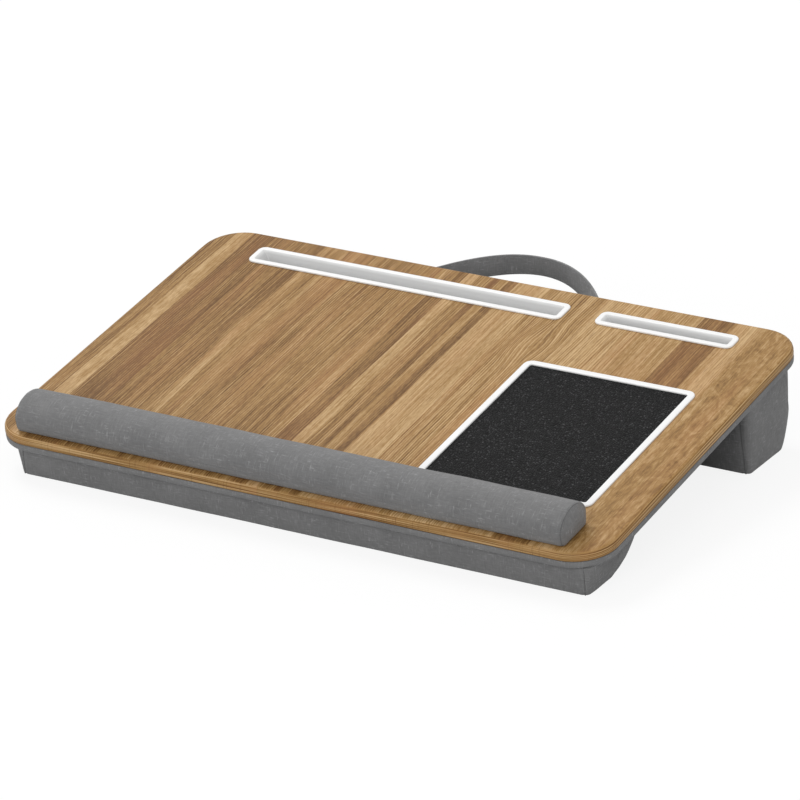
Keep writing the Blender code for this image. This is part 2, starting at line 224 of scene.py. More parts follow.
def grain(place, fineness, detail=2.0, roughness=0.5, distortion=0.0, turn=(0, 0, 0)):
    """Noise that is finer along some directions than along others."""
    return cloudy(stretch(place, fineness, turn), 1.0, detail, roughness, distortion)


def steps_of(share, stops, smooth=True):
    """A colour for each share along a row of (share, colour) stops."""
    colours = share.id_data.nodes.new("ShaderNodeValToRGB")
    colours.color_ramp.interpolation = "LINEAR" if smooth else "CONSTANT"
    elements = colours.color_ramp.elements
    elements[0].position, elements[0].color = stops[0][0], (*stops[0][1], 1)
    elements[1].position, elements[1].color = stops[-1][0], (*stops[-1][1], 1)
    for position, colour in stops[1:-1]:
        elements.new(position).color = (*colour, 1)
    share.id_data.links.new(share, colours.inputs[0])
    return colours.outputs[0]


def board_coordinates(tree):
    """Place on the board: across, back and up, in metres."""
    place = tree.nodes.new("ShaderNodeTexCoord").outputs["Object"]
    inputs = {0: place, 1: board_origin, 2: (board_tilt, 0, 0)}
    return add_step(tree, "Mapping", inputs, vector_type="TEXTURE")


def cloth_coordinates(tree):
    """Place on the cloth along its two threads, in metres."""
    return add_step(tree, "UVMap", {}, uv_map="threads")


def new_finish(name, specular, coordinates=board_coordinates):
    """A material, and the place on a piece that its steps start from."""
    finish = bpy.data.materials.new(name)
    finish.use_nodes = True
    tree = finish.node_tree
    tree.nodes["Principled BSDF"].inputs["Specular IOR Level"].default_value = specular
    return finish, coordinates(tree)


def finish_surface(finish, colour, roughness, height, depth):
    """Links the colour, the roughness and a bump of a real depth in metres, and gives the finish back."""
    tree = finish.node_tree
    shader = tree.nodes["Principled BSDF"]
    tree.links.new(colour, shader.inputs["Base Color"])
    tree.links.new(roughness, shader.inputs["Roughness"])
    bump = add_step(tree, "Bump", {"Strength": 1.0, "Distance": depth, "Height": height})
    tree.links.new(bump, shader.inputs["Normal"])
    return finish


# Mesh steps


def add_piece(name, maker, finish, smooth=True):
    """An object from a bmesh, facing out, with one finish."""
    bmesh.ops.recalc_face_normals(maker, faces=maker.faces)
    mesh = bpy.data.meshes.new(name)
    maker.to_mesh(mesh)
    maker.free()
    if smooth:
        mesh.shade_smooth()
    mesh.materials.append(finish)
    piece = bpy.data.objects.new(name, mesh)
    bpy.context.scene.collection.objects.link(piece)
    return piece


def apply_modifiers(piece):
    """Puts what a piece's modifiers make into its own mesh."""
    bpy.context.view_layer.update()
    graph = bpy.context.evaluated_depsgraph_get()
    mesh = bpy.data.meshes.new_from_object(piece.evaluated_get(graph), depsgraph=graph)
    piece.modifiers.clear()
    piece.data = mesh


def add_skin(maker, rings, closed=False):
    """A skin through rings of as many points each, capped unless it closes on itself."""
    loops = [[maker.verts.new(point) for point in ring] for ring in rings]
    if closed:
        loops.append(loops[0])
    else:
        maker.faces.new(loops[0])
        maker.faces.new(loops[-1])
    for lower, upper in zip(loops, loops[1:]):
        for near, far in zip(range(-1, len(lower) - 1), range(len(lower))):
            maker.faces.new((lower[near], lower[far], upper[far], upper[near]))


def loft(rings, closed=False):
    """A new bmesh with one skin."""
    maker = bmesh.new()
    add_skin(maker, rings, closed)
    return maker


def cord_ring(centre, side, up, radius, sides):
    """Points round a cord at one place of its path."""
    turns = [2 * pi * k / sides for k in range(sides)]
    return [centre + radius * (side * cos(turn) + up * sin(turn)) for turn in turns]


def tube(path, radius):
    """A round cord of cloth along a closed path."""
    rings = []
    for index, point in enumerate(path):
        along = (path[(index + 1) % len(path)] - path[index - 1]).normalized()
        if rings:
            side = (side - along * side.dot(along)).normalized()
        else:
            side = along.orthogonal().normalized()
        rings.append(cord_ring(point, side, along.cross(side), radius, 8))
    return loft(rings, closed=True)


def even_path(points, pitch, closed=False):
    """The same path with its points a pitch apart."""
    ring = points + points[:1] if closed else points
    travelled = [0.0]
    for near, far in zip(ring, ring[1:]):
        travelled.append(travelled[-1] + (far - near).length)
    count = max(2, round(travelled[-1] / pitch))
    path, leg = [], 0
    for step in range(count if closed else count + 1):
        wanted = travelled[-1] * step / count
        while leg < len(ring) - 2 and travelled[leg + 1] < wanted:
            leg += 1
        span = travelled[leg + 1] - travelled[leg]
        path.append(ring[leg].lerp(ring[leg + 1], (wanted - travelled[leg]) / span if span else 0))
    return path


def filled(points, pitch):
    """A closed section with points added along its long straight stretches."""
    full = []
    for near, far in zip(points, points[1:] + points[:1]):
        near, far = Vector(near), Vector(far)
        pieces = max(1, round((far - near).length / pitch))
        full += [near.lerp(far, step / pieces) for step in range(pieces)]
    return full


# The rings of a crowned end, each as a share of the whole section
end_shares = (0.93, 0.82, 0.66, 0.48, 0.30, 0.12)


def end_rounds(half, corner, crown):
    """Where the rings of a sewn piece lie from its left end to its right one: (along, drawn in, share)."""
    turn = []
    for angle in (0, pi / 8, pi / 4, 3 * pi / 8, pi / 2):
        turn.append((half - corner + corner * sin(angle), corner * (1 - cos(angle)), 1))
    turn += [(half + crown * (1 - share * share), corner, share) for share in end_shares]
    steps = round(2 * (half - corner) / cell)
    middle = [(-half + corner + 2 * (half - corner) * step / steps, 0, 1) for step in range(1, steps)]
    return [(-along, inset, share) for along, inset, share in reversed(turn)] + middle + turn


def arc(centre, radii, start, end, steps):
    """Points round part of an ellipse, by angle in degrees."""
    points = []
    for step in range(steps + 1):
        angle = radians(start + (end - start) * step / steps)
        points.append((centre[0] + radii[0] * cos(angle), centre[1] + radii[1] * sin(angle)))
    return points


def box_threads(piece):
    """Lays the cloth's threads on a piece, each face on the side of the board that it looks to."""
    layer = piece.data.uv_layers.new(name="threads")
    straight = board_place.to_3x3().inverted()
    for face in piece.data.polygons:
        look = straight @ face.normal
        sizes = [abs(value) for value in look]
        side = sizes.index(max(sizes))
        for loop in face.loop_indices:
            point = straight @ piece.data.vertices[piece.data.loops[loop].vertex_index].co
            across = [value for axis, value in enumerate(point) if axis != side]
            layer.data[loop].uv = (across[0], across[1])


def lay_threads(piece, where):
    """Lays the cloth's threads on a piece; where gives each point of the board its place on them."""
    layer = piece.data.uv_layers.new(name="threads")
    for loop in piece.data.loops:
        place = off_board @ piece.data.vertices[loop.vertex_index].co
        layer.data[loop.index].uv = where(place)


# How long the cloth swells, and how it behaves meanwhile
puff_frames = 20
puff_settings = {
    "quality": 5,
    "mass": 0.15,
    "tension_stiffness": 12,
    "compression_stiffness": 12,
    "shear_stiffness": 4,
    "bending_stiffness": 0.6,
    "use_pressure": True,
    "uniform_pressure_force": 4,
    "vertex_group_mass": "held",
}


def puff_up(piece, most, held):
    """Swells a closed cloth form by simulation, no point by more than most, and none where it is held."""
    start = [point.co.copy() for point in piece.data.vertices]
    pins = piece.vertex_groups.new(name="held")
    for index, point in enumerate(start):
        pins.add([index], held(point), "REPLACE")
    cloth = piece.modifiers.new("cloth", "CLOTH")
    for name, value in puff_settings.items():
        setattr(cloth.settings, name, value)
    cloth.settings.effector_weights.gravity = 0
    cloth.collision_settings.use_collision = False
    cloth.point_cache.frame_start, cloth.point_cache.frame_end = 1, puff_frames
    scene = bpy.context.scene
    for step in range(1, puff_frames + 1):
        scene.frame_set(step)
    apply_modifiers(piece)
    scene.frame_set(1)
    for point, before in zip(piece.data.vertices, start):
        moved = point.co - before
        if moved.length > most:
            point.co = before + moved * (most / moved.length)


def round_off(piece):
    """Subdivides a swollen piece once and keeps the finer mesh."""
    finer = piece.modifiers.new("finer", "SUBSURF")
    finer.levels = finer.render_levels = 1
    apply_modifiers(piece)
    piece.data.shade_smooth()


def sink_seams(piece, paths, depth, width):
    """Draws the cloth in along its seams."""
    points = [point for path in paths for point in path]
    near = KDTree(len(points))
    for index, point in enumerate(points):
        near.insert(point, index)
    near.balance()
    mesh = piece.data
    normals = [vertex.normal.copy() for vertex in mesh.vertices]
    for vertex, normal in zip(mesh.vertices, normals):
        distance = near.find(vertex.co)[2]
        if distance < 4 * width:
            vertex.co -= normal * depth * exp(-((distance / width) ** 2))
    mesh.update()


def on_surface(piece, path, lift):
    """The path moved to the nearest points of a piece's surface, lifted off it."""
    graph = bpy.context.evaluated_depsgraph_get()
    tree = BVHTree.FromObject(piece, graph)
    placed = []
    for point in path:
        spot, normal, _, _ = tree.find_nearest(point)
        placed.append(spot + normal * lift)
    return placed


def rounded_outline(centre, half_x, half_y, radius, up):
    """Points round a rectangle with round corners, on the board at one height."""
    points = []
    for turn, (side_x, side_y) in enumerate(((1, 1), (-1, 1), (-1, -1), (1, -1))):
        corner = (centre[0] + side_x * (half_x - radius), centre[1] + side_y * (half_y - radius))
        ring = arc(corner, (radius, radius), 90 * turn, 90 * turn + 90, 16)
        points += [board_place @ Vector((x, y, up)) for x, y in ring]
    return points


# The troughs of the two slots, where they pass through the base panel: middle, half sizes and corner radius,
# and the heights between which they are cut out
trough_heights = (-0.0180, 0.0100)
troughs = (
    ((-0.0812, 0.3607), 0.1586, 0.0106, 0.0033),
    ((0.1799, 0.36355), 0.0642, 0.00775, 0.0033),
)


def cut_slots(piece):
    """Cuts the places of the two troughs out of a piece."""
    for centre, half_x, half_y, radius in troughs:
        rings = [rounded_outline(centre, half_x, half_y, radius, up) for up in trough_heights]
        cutter = add_piece("trough", loft(rings), piece.data.materials[0])
        cut = piece.modifiers.new("cut", "BOOLEAN")
        cut.operation = "DIFFERENCE"
        cut.solver = "EXACT"
        cut.object = cutter
        apply_modifiers(piece)
        bpy.data.objects.remove(cutter)
    piece.data.shade_smooth()


# Stage

floor_size = 9
room_strength = 0.60

# Lamps: name, place, size and power. All of them look at the tray's middle
lamps = (
    ("key_lamp", (-2.8, 1.5, 4.4), 2.4, 116),
    ("fill_lamp", (0.5, -4.0, 1.9), 2.8, 60),
    ("side_lamp", (3.8, 1.3, 1.5), 1.8, 14),
)

# Camera: how it looks is stated on the board, and its place in the model's frame
sensor_width = 36
lens_length = 226.3746
camera_place = (2.052294, -3.546219, 1.737786)
camera_look = (
    (0.86710383, -0.17534922, 0.46624414),
    (0.48976188, 0.4709272, -0.73373079),
    (-0.09090793, 0.86456938, 0.49422214),
)


class TRAY_OT_stage(bpy.types.Operator):
    """Adds the floor, the soft lamps and the camera at the photograph's angle."""

    bl_idname = "bed_tray.stage"
    bl_label = "Stage"

    def execute(self, context):
        scene = context.scene
        scene.view_settings.view_transform = "Standard"
        maker = bmesh.new()
        bmesh.ops.create_grid(maker, x_segments=2, y_segments=2, size=floor_size)
        floor = add_piece("floor", maker, floor_finish(), smooth=False)
        world = bpy.data.worlds.new("studio")
        scene.world = world
        world.use_nodes = True
        tree = world.node_tree
        room = tree.nodes["Background"]
        room.inputs["Color"].default_value = (1, 1, 1, 1)
        room.inputs["Strength"].default_value = room_strength
        seen = add_step(tree, "Background", {"Color": (1, 1, 1, 1), "Strength": 1.0})
        mixed = add_step(tree, "MixShader", {0: seen_rays(tree), 1: room.outputs[0], 2: seen})
        tree.links.new(mixed, tree.nodes["World Output"].inputs["Surface"])
        for name, place, size, power in lamps:
            lamp = bpy.data.objects.new(name, bpy.data.lights.new(name, "AREA"))
            lamp.data.shape = "DISK"
            lamp.data.size = size
            lamp.data.energy = power
            lamp.location = place
            lamp.rotation_euler = (-Vector(place)).to_track_quat("-Z", "Y").to_euler()
            scene.collection.objects.link(lamp)
        camera = bpy.data.objects.new("camera", bpy.data.cameras.new("camera"))
        scene.collection.objects.link(camera)
        camera.data.sensor_width = sensor_width
        camera.data.lens = lens_length
        camera.data.clip_end = 50
        look = board_place.to_3x3() @ Matrix(camera_look)
        camera.matrix_world = Matrix.Translation(camera_place) @ look.to_4x4()
        scene.camera = camera
        return {"FINISHED"}


def seen_rays(tree):
    """1 for the rays that show the background: straight, mirrored or through glass."""
    path = tree.nodes.new("ShaderNodeLightPath")
    mirrored = sum_up("MAXIMUM", path.outputs["Is Camera Ray"], path.outputs["Is Glossy Ray"])
    return sum_up("MAXIMUM", mirrored, path.outputs["Is Transmission Ray"])


def floor_finish():
    """White to the eye, with the object's shadow kept on it."""
    finish = bpy.data.materials.new("floor")
    finish.use_nodes = True
    tree = finish.node_tree
    tree.nodes.remove(tree.nodes["Principled BSDF"])
    bounced = add_step(tree, "BsdfDiffuse", {"Color": (0.55, 0.55, 0.55, 1)})
    shadow = add_step(tree, "BsdfDiffuse", {"Color": (1, 1, 1, 1)})
    white = add_step(tree, "Emission", {"Color": (1, 1, 1, 1), "Strength": 1.0})
    shown = add_step(tree, "MixShader", {0: 0.86, 1: shadow, 2: white})
    surface = add_step(tree, "MixShader", {0: seen_rays(tree), 1: bounced, 2: shown})
    tree.links.new(surface, tree.nodes["Material Output"].inputs["Surface"])
    return finish


# Board

# Staves across the board: where each begins in millimetres from the left edge, how pale it is,
# its own shift along the grain, and how clearly its fine lines stand out
width_in_millimetres = 600
staves = (
    (0, 0.34, 0.10, 0.6),
    (18, 0.74, 0.72, 0.2),
    (35, 0.16, 0.33, 0.8),
    (72, 0.27, 0.91, 0.8),
    (111, 0.47, 0.55, 0.5),
    (131, 0.40, 0.18, 0.7),
    (162, 0.36, 0.64, 0.8),
    (189, 0.36, 0.41, 0.7),
    (214, 0.34, 0.83, 0.8),
    (236, 0.54, 0.27, 0.6),
    (245, 0.26, 0.96, 0.5),
    (261, 0.74, 0.05, 0.3),
    (272, 0.43, 0.47, 0.7),
    (286, 0.24, 0.78, 0.4),
    (293, 0.56, 0.22, 0.4),
    (303, 0.20, 0.60, 0.3),
    (314, 0.74, 0.36, 0.4),
    (345, 0.52, 0.88, 1.0),
    (401, 0.70, 0.13, 1.0),
    (447, 0.66, 0.52, 0.6),
    (459, 0.64, 0.31, 0.3),
    (500, 0.21, 0.70, 0.5),
    (533, 0.74, 0.44, 0.4),
    (557, 0.66, 0.98, 0.0),
    (560, 0.56, 0.58, 0.05),
)


def wood_finish(settings):
    """Staves of wood grain that runs back over the board, with grain along its edges, under a satin coat,
    and painted shade at the foot of its edge.
    """
    finish, place = new_finish("wood_grain", 0.14)
    tree = finish.node_tree
    across, back, up = split(place)
    wander = spread(grain(place, (9, 3, 9)), 0.3, 0.7, -0.0022, 0.0022)
    eye = eye_of_grain(across, back)
    swayed = sum_up("ADD", sum_up("ADD", across, wander), eye)
    half = board_width / 2
    share = spread(add_share(across, wander, 0.4), -half, half)
    stops = [(start / width_in_millimetres, tuple(traits)) for start, *traits in staves]
    traits = tree.nodes.new("ShaderNodeSeparateColor")
    tree.links.new(steps_of(share, stops, smooth=False), traits.inputs[0])
    tone, own, clear = traits.outputs
    shifted = add_step(tree, "CombineXYZ", {0: swayed, 1: add_share(back, own, 3), 2: own})
    broad = grain(shifted, (120, 5, 3), 3, 0.6)
    streaks = grain(shifted, (520, 9, 3), 3, 0.65)
    figure = grain(shifted, (80, 38, 3), 4, 0.60, 1.6, turn=(0, 0, 0.6))
    flecks = grain(shifted, (900, 130, 3), 2, 0.6)
    pores = grain(shifted, (1500, 55, 3))
    wave = {"Vector": stretch(shifted, (1, 0.12, 0)), "Scale": 0.314 / settings.line_pitch}
    wave |= {"Distortion": 3.2, "Detail": 3.0, "Detail Scale": 1.4, "Detail Roughness": 0.62}
    lines = add_step(tree, "TexWave", wave, output=1)
    line_share = sum_up("MULTIPLY", spread(lines, 0.45, 0.95), clear)
    plain = spread(clear, 0.0, 0.5, 1, 0)
    lively = spread(plain, 0, 1, 1, 0.45)
    level = sum_up("ADD", tone, spread(broad, 0.30, 0.70, -0.15, 0.15))
    level = add_share(level, spread(streaks, 0.32, 0.68, -0.27, 0.27), lively)
    level = add_share(level, spread(figure, 0.34, 0.66, -0.22, 0.22), plain)
    level = sum_up("ADD", level, spread(flecks, 0.3, 0.7, -0.14, 0.14))
    level = add_share(level, sum_up("SUBTRACT", line_share, 0.25), 0.34)
    edge = spread(up, -0.0009, -0.0003, 1, 0)
    bands = grain(place, (7, 7, 1400), 3, 0.6)
    edge_level = spread(bands, 0.36, 0.64, -0.08, 0.95)
    level = add_step(tree, "Mix", {0: edge, 2: level, 3: edge_level}, data_type="FLOAT")
    tones = [(0.0, settings.dark_wood[:]), (0.47, settings.warm_wood[:]), (1, settings.pale_wood[:])]
    colour = steps_of(level, tones)
    tint = grain(shifted, (34, 4, 3))
    colour = blend_colours(spread(tint, 0.44, 0.70, 0, 0.22), colour, (0.46, 0.205, 0.088))
    pore_share = sum_up("MULTIPLY", spread(pores, 0.60, 0.70, 0, 0.50), lively)
    colour = blend_colours(pore_share, colour, settings.dark_wood[:])
    # Painted shade: the foot of the laminate's edge darkens towards the gap above the base cloth
    painted_gap_shade = spread(up, -0.0078, -0.0070, 0.75, 0)
    colour = blend_colours(painted_gap_shade, colour, (0.035, 0.017, 0.006))
    roughness = spread(streaks, 0.3, 0.7, 0.56, 0.44)
    height = sum_up("SUBTRACT", sum_up("ADD", streaks, line_share), pore_share)
    return finish_surface(finish, colour, roughness, height, 0.00006)


def eye_of_grain(across, back):
    """How far the grain lines bend aside round a knot behind the mouse mat."""
    knot_across, knot_back, knot_reach = 0.082, 0.300, 0.030
    off = sum_up("SUBTRACT", across, knot_across)
    along = sum_up("MULTIPLY", sum_up("SUBTRACT", back, knot_back), 0.55)
    squares = sum_up("ADD", sum_up("POWER", off, 2), sum_up("POWER", along, 2))
    bend = {0: sum_up("SQRT", squares), 1: 0.0, 2: knot_reach, 3: 0.62, 4: 0.0}
    near = add_step(across.id_data, "MapRange", bend, interpolation_type="SMOOTHSTEP")
    return sum_up("MULTIPLY", sum_up("MULTIPLY", off, near), -1)


def fibre_finish():
    """Pressed fibreboard, seen only where the laminate ends."""
    finish, place = new_finish("fibreboard", 0.2)
    flecks = grain(place, (900, 900, 2200), 3, 0.6)
    clouds = cloudy(place, 60)
    level = add_share(sum_up("MULTIPLY", flecks, 0.7), clouds, 0.3)
    colour = steps_of(level, [(0.3, (0.24, 0.15, 0.08)), (0.7, (0.46, 0.33, 0.20))])
    return finish_surface(finish, colour, spread(flecks, 0.3, 0.7, 0.75, 0.9), flecks, 0.0001)


class TRAY_OT_board(bpy.types.Operator):
    """Finishes the board, its core and the base panel."""

    bl_idname = "bed_tray.board"
    bl_label = "Board"

    def execute(self, context):
        give_finish(wood_finish(context.scene.bed_tray_board), "board_laminate")
        give_finish(fibre_finish(), "board_core", "panel_core")
        for name in ("board_core", "board_laminate"):
            smooth_node(name)
        return {"FINISHED"}


def give_finish(finish, *names):
    for name in names:
        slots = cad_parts[name].material_slots
        if not slots:
            raise RuntimeError(name + " has no place for a material")
        for place in slots:
            place.material = finish


def smooth_node(name):
    """Soft shading with crisp edges on a CAD node."""
    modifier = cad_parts[name].modifiers.new("even_shading", "WEIGHTED_NORMAL")
    modifier.keep_sharp = True


# Plastic trim


def plastic_finish(name, settings, trough_painted_shade=1.0):
    """Moulded white plastic with a fine satin grain, darkened below the board's face by a given share, as
    painted shade down in the troughs.
    """
    finish, place = new_finish(name, 0.5)
    satin = cloudy(place, 3200)
    clouds = cloudy(place, 35, 3)
    white = settings.plastic
    colour = blend_colours(spread(clouds, 0.3, 0.7), shaded(white, 0.965), white[:])
    # Painted shade: the plastic darkens below the board's face, down the trough walls
    inside = spread(split(place)[2], -0.0020, 0.0006, 1, 0)
    colour = blend_colours(inside, colour, shaded(white, trough_painted_shade))
    return finish_surface(finish, colour, spread(satin, 0.3, 0.7, 0.30, 0.42), satin, 0.00002)


class TRAY_OT_slots(bpy.types.Operator):
    """Finishes the tablet slot and the phone slot."""

    bl_idname = "bed_tray.slots"
    bl_label = "Slots"

    def execute(self, context):
        # 0.77 darkens the trough walls as painted shade
        finish = plastic_finish("white_plastic", context.scene.bed_tray_trim, 0.77)
        for name in ("tablet_slot", "phone_slot"):
            give_finish(finish, name)
            smooth_node(name)
        return {"FINISHED"}


# Mouse mat


def leather_finish(settings):
    """Black pebbled leather, with painted shade in the cracks between pebbles and painted highlights on the
    tops of some of them.
    """
    finish, place = new_finish("black_leather", 0.07)
    tree = finish.node_tree
    wander = add_step(tree, "TexNoise", {"Vector": place, "Scale": 260.0, "Detail": 2.0}, output=1)
    moved = add_step(tree, "VectorMath", {0: wander, 3: settings.pebble * 0.5}, operation="SCALE")
    bent = add_step(tree, "VectorMath", {0: place, 1: moved}, operation="ADD")
    cells = {"Vector": bent, "Scale": 1 / settings.pebble}
    pebbles = add_step(tree, "TexVoronoi", cells, feature="DISTANCE_TO_EDGE")
    glint_pick = add_step(tree, "SeparateColor", {0: add_step(tree, "TexVoronoi", cells, output=1)})
    rounded = spread(pebbles, 0.0, 0.28)
    fine = cloudy(place, 4200)
    broad = cloudy(place, 30, 3)
    height = add_share(sum_up("POWER", rounded, 0.6), fine, 0.15)
    black = settings.leather
    # Painted shade: the cracks between the pebbles are darkened
    colour = blend_colours(rounded, shaded(black, 0.15), shaded(black, 1.1))
    # Painted highlights: the tops of some pebbles, picked at random, are made far paler
    glint_share = spread(glint_pick, 0.55, 1.0)
    painted_glint = sum_up("MULTIPLY", glint_share, spread(pebbles, 0.10, 0.36))
    painted_glint = sum_up("MULTIPLY", painted_glint, spread(broad, 0.35, 0.65, 0.65, 1))
    colour = blend_colours(painted_glint, colour, shaded(black, 10.0))
    return finish_surface(finish, colour, spread(rounded, 0, 1, 0.60, 0.40), height, 0.00040)


def mat_ring(inset, up):
    """Points round the mouse mat's outline, drawn in by a distance, at one height on the board."""
    return rounded_outline(mat_middle, mat_width / 2 - inset, mat_depth / 2 - inset, mat_corner - inset, up)


def add_mat(settings):
    """The mouse mat: a moulded frame with a rounded rim, round a sheet of leather."""
    high = mat_rim_height - mat_rim_round
    far = mat_rim_width - mat_rim_round
    section = arc((mat_rim_round, high), (mat_rim_round, mat_rim_round), 180, 90, 6)
    section += [(mat_rim_width / 2, mat_rim_height)]
    section += arc((far, high), (mat_rim_round, mat_rim_round), 90, 0, 6)
    section += [(inset, mat_rim_foot) for inset in (mat_rim_width, mat_rim_width / 2, 0)]
    rings = [mat_ring(*point) for point in section]
    rim = add_piece("mat_rim", loft(rings, closed=True), plastic_finish("mat_plastic", settings))
    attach(rim, "tray")
    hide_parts("mat_frame")
    edge = mat_rim_width + leather_play
    section = [(edge, 0.0001), (edge, leather_top - 0.0001), (edge + 0.0001, leather_top)]
    rings = [mat_ring(*point) for point in section]
    leather = add_piece("mat_top", loft(rings), leather_finish(settings), smooth=False)
    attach(leather, "tray")
    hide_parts("mat_leather")


def foam_finish(name, specular, fineness, dark, pale, roughness, depth):
    """Foam with open cells."""
    finish, place = new_finish(name, specular)
    cells = add_step(finish.node_tree, "TexVoronoi", {"Vector": place, "Scale": fineness})
    colour = steps_of(cells, [(0.1, dark), (0.7, pale)])
    return finish_surface(finish, colour, spread(cells, 0, 1, *roughness), cells, depth)


class TRAY_OT_mat(bpy.types.Operator):
    """Lays the mouse mat and finishes the foam under it."""

    bl_idname = "bed_tray.mat"
    bl_label = "Mouse mat"

    def execute(self, context):
        add_mat(context.scene.bed_tray_trim)
        tones = ((0.45, 0.43, 0.34), (0.76, 0.74, 0.64))
        give_finish(foam_finish("foam", 0.1, 900.0, *tones, (0.85, 0.98), 0.0003), "mat_foam")
        return {"FINISHED"}


# Cloth


def cloth_finish(name, settings, shade=1.0):
    """Heathered grey cloth in a plain weave, with pale slubs in patches along both threads, and painted
    shade in the holes between them.
    """
    finish, place = new_finish(name, 0.15, cloth_coordinates)
    shader = finish.node_tree.nodes["Principled BSDF"]
    shader.inputs["Sheen Weight"].default_value = 0.15
    shader.inputs["Sheen Roughness"].default_value = 0.6
    pitch = settings.yarn_pitch
    warp, weft = (
        sum_up("ABSOLUTE", sum_up("SINE", sum_up("MULTIPLY", part, pi / pitch)))
        for part in split(place)[:2]
    )
    weave = sum_up("MAXIMUM", warp, weft)
    slubs_up = grain(place, (720, 130, 1), 2, 0.6)
    slubs_over = grain(place, (130, 720, 1), 2, 0.6)
    patches = grain(place, (60, 60, 1), 2, 0.6)
    clouds = cloudy(place, 28, 3, 0.6)
    fine = cloudy(place, 1900, 2, 0.6)
    yarn = settings.yarn
    level = spread(fine, 0.3, 0.7, 0.22, 0.62)
    level = sum_up("ADD", level, spread(clouds, 0.3, 0.7, -0.22, 0.22))
    both = sum_up("SUBTRACT", sum_up("ADD", slubs_up, slubs_over), 1)
    level = sum_up("ADD", level, spread(both, -0.3, 0.3, -0.24, 0.24))
    tones = [(0.0, shaded(yarn, 0.80 * shade)), (0.9, shaded(yarn, 1.20 * shade))]
    colour = steps_of(level, tones)
    slub = sum_up("MAXIMUM", spread(slubs_up, 0.60, 0.72), spread(slubs_over, 0.60, 0.72))
    slub = sum_up("MULTIPLY", slub, spread(patches, 0.40, 0.58, 0.12, 1.0))
    colour = blend_colours(slub, colour, shaded(yarn, 1.62 * shade))
    # Painted shade in the holes between the threads
    thread_gap_shade = spread(weave, 0.55, 0.95, 0.22, 0)
    colour = blend_colours(thread_gap_shade, colour, shaded(yarn, 0.45 * shade))
    height = add_share(weave, both, 1.2)
    return finish_surface(finish, colour, spread(both, -0.3, 0.3, 0.92, 0.80), height, 0.00016)


# Base panel


def add_base_cloth(settings):
    """The cloth that wraps the base panel, from under the board down its edge and over its underside."""
    outside = [(0.0026, -0.0083), (0.0012, -0.0084), (0.0005, -0.0088), (0.0003, -0.0094)]
    outside += [(0.0001, -0.0116), (0.0003, -0.0138), (0.0007, -0.0144), (0.0016, -0.0147)]
    inside = [(0.0026, -0.0139), (0.0014, -0.0134), (0.0012, -0.0090)]
    middle = (0, board_depth / 2)
    rings = []
    for inset, up in reversed(inside + outside):
        half_x, half_y = board_width / 2 - inset, board_depth / 2 - inset
        rings.append(rounded_outline(middle, half_x, half_y, board_corner - inset, up))
    piece = add_piece("base_cloth", loft(rings), cloth_finish("base_cloth", settings, 0.97))
    cut_slots(piece)
    box_threads(piece)
    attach(piece, "tray")
    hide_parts("panel_cloth")


class TRAY_OT_base(bpy.types.Operator):
    """Stretches the cloth over the base panel."""

    bl_idname = "bed_tray.base"
    bl_label = "Base panel"

    def execute(self, context):
        add_base_cloth(context.scene.bed_tray_cloth)
        return {"FINISHED"}


# Cushions

# The small rounds along a cushion's section, and how far its cloth stands out in front and goes down behind
front_round = 0.0015
back_round = 0.0020
toe_round = 0.0006
face_stand = 0.0005
foot_sink = 0.0003
heel_steps = 14

# A cushion's ends: how they round off, how far they bulge, and how near to them they lean
end_round = 0.0050
end_bulge = 0.0022
lean_reach = 0.0300

# Each cushion's heel (depth and height), how full the heel is, and how far its left and right ends draw in
front_shape = ((0.046, 0.029), 1.85, (0.0035, 0.0055))
rear_shape = ((0.023, 0.031), 1.50, (0.0010, 0.0010))

# How far a cushion's seams lie from its ends, at the top and, by so much less, at the ground
seam_inset = 0.0080
seam_drift = 0.0040

# Seams: how deep and wide the cloth draws in, how deep the cord lies, the cord's radius and its shade,
# darker than the cloth as painted shade along the seam
cushion_seam = (0.0007, 0.0016, 0.0003, 0.0006, 0.60)
wrist_seam = (0.0006, 0.0011, 0.0002, 0.00045, 0.62)


def heel_arc(centre, radii, fullness):
    """Points round a heel, from its back down to its foot; fullness 2 is an ellipse, less is flatter."""
    points = []
    power = 2 / fullness
    for step in range(heel_steps + 1):
        angle = pi / 2 * step / heel_steps
        back, fall = radii[0] * cos(angle) ** power, radii[1] * sin(angle) ** power
        points.append((centre[0] + back, centre[1] - fall))
    return points


def cushion_section(front, heel, fullness):
    """The cushion's section as (back, up) points on the board, from its top front edge round its outside."""
    back = front + cushion_depth
    heel_depth, heel_height = heel
    face = front - face_stand
    points = arc((face + front_round, cushion_top - front_round), (front_round, front_round), 180, 90, 3)
    points += arc((back - back_round, cushion_top - back_round), (back_round, back_round), 90, 0, 3)
    foot = ground_under(back - heel_depth) - foot_sink
    points += heel_arc((back - heel_depth, foot + heel_height), heel, fullness)
    low = ground_under(face) - toe_round
    points += arc((face + toe_round, low + toe_round), (toe_round, toe_round), 270, 180, 2)
    return filled(points, cell)


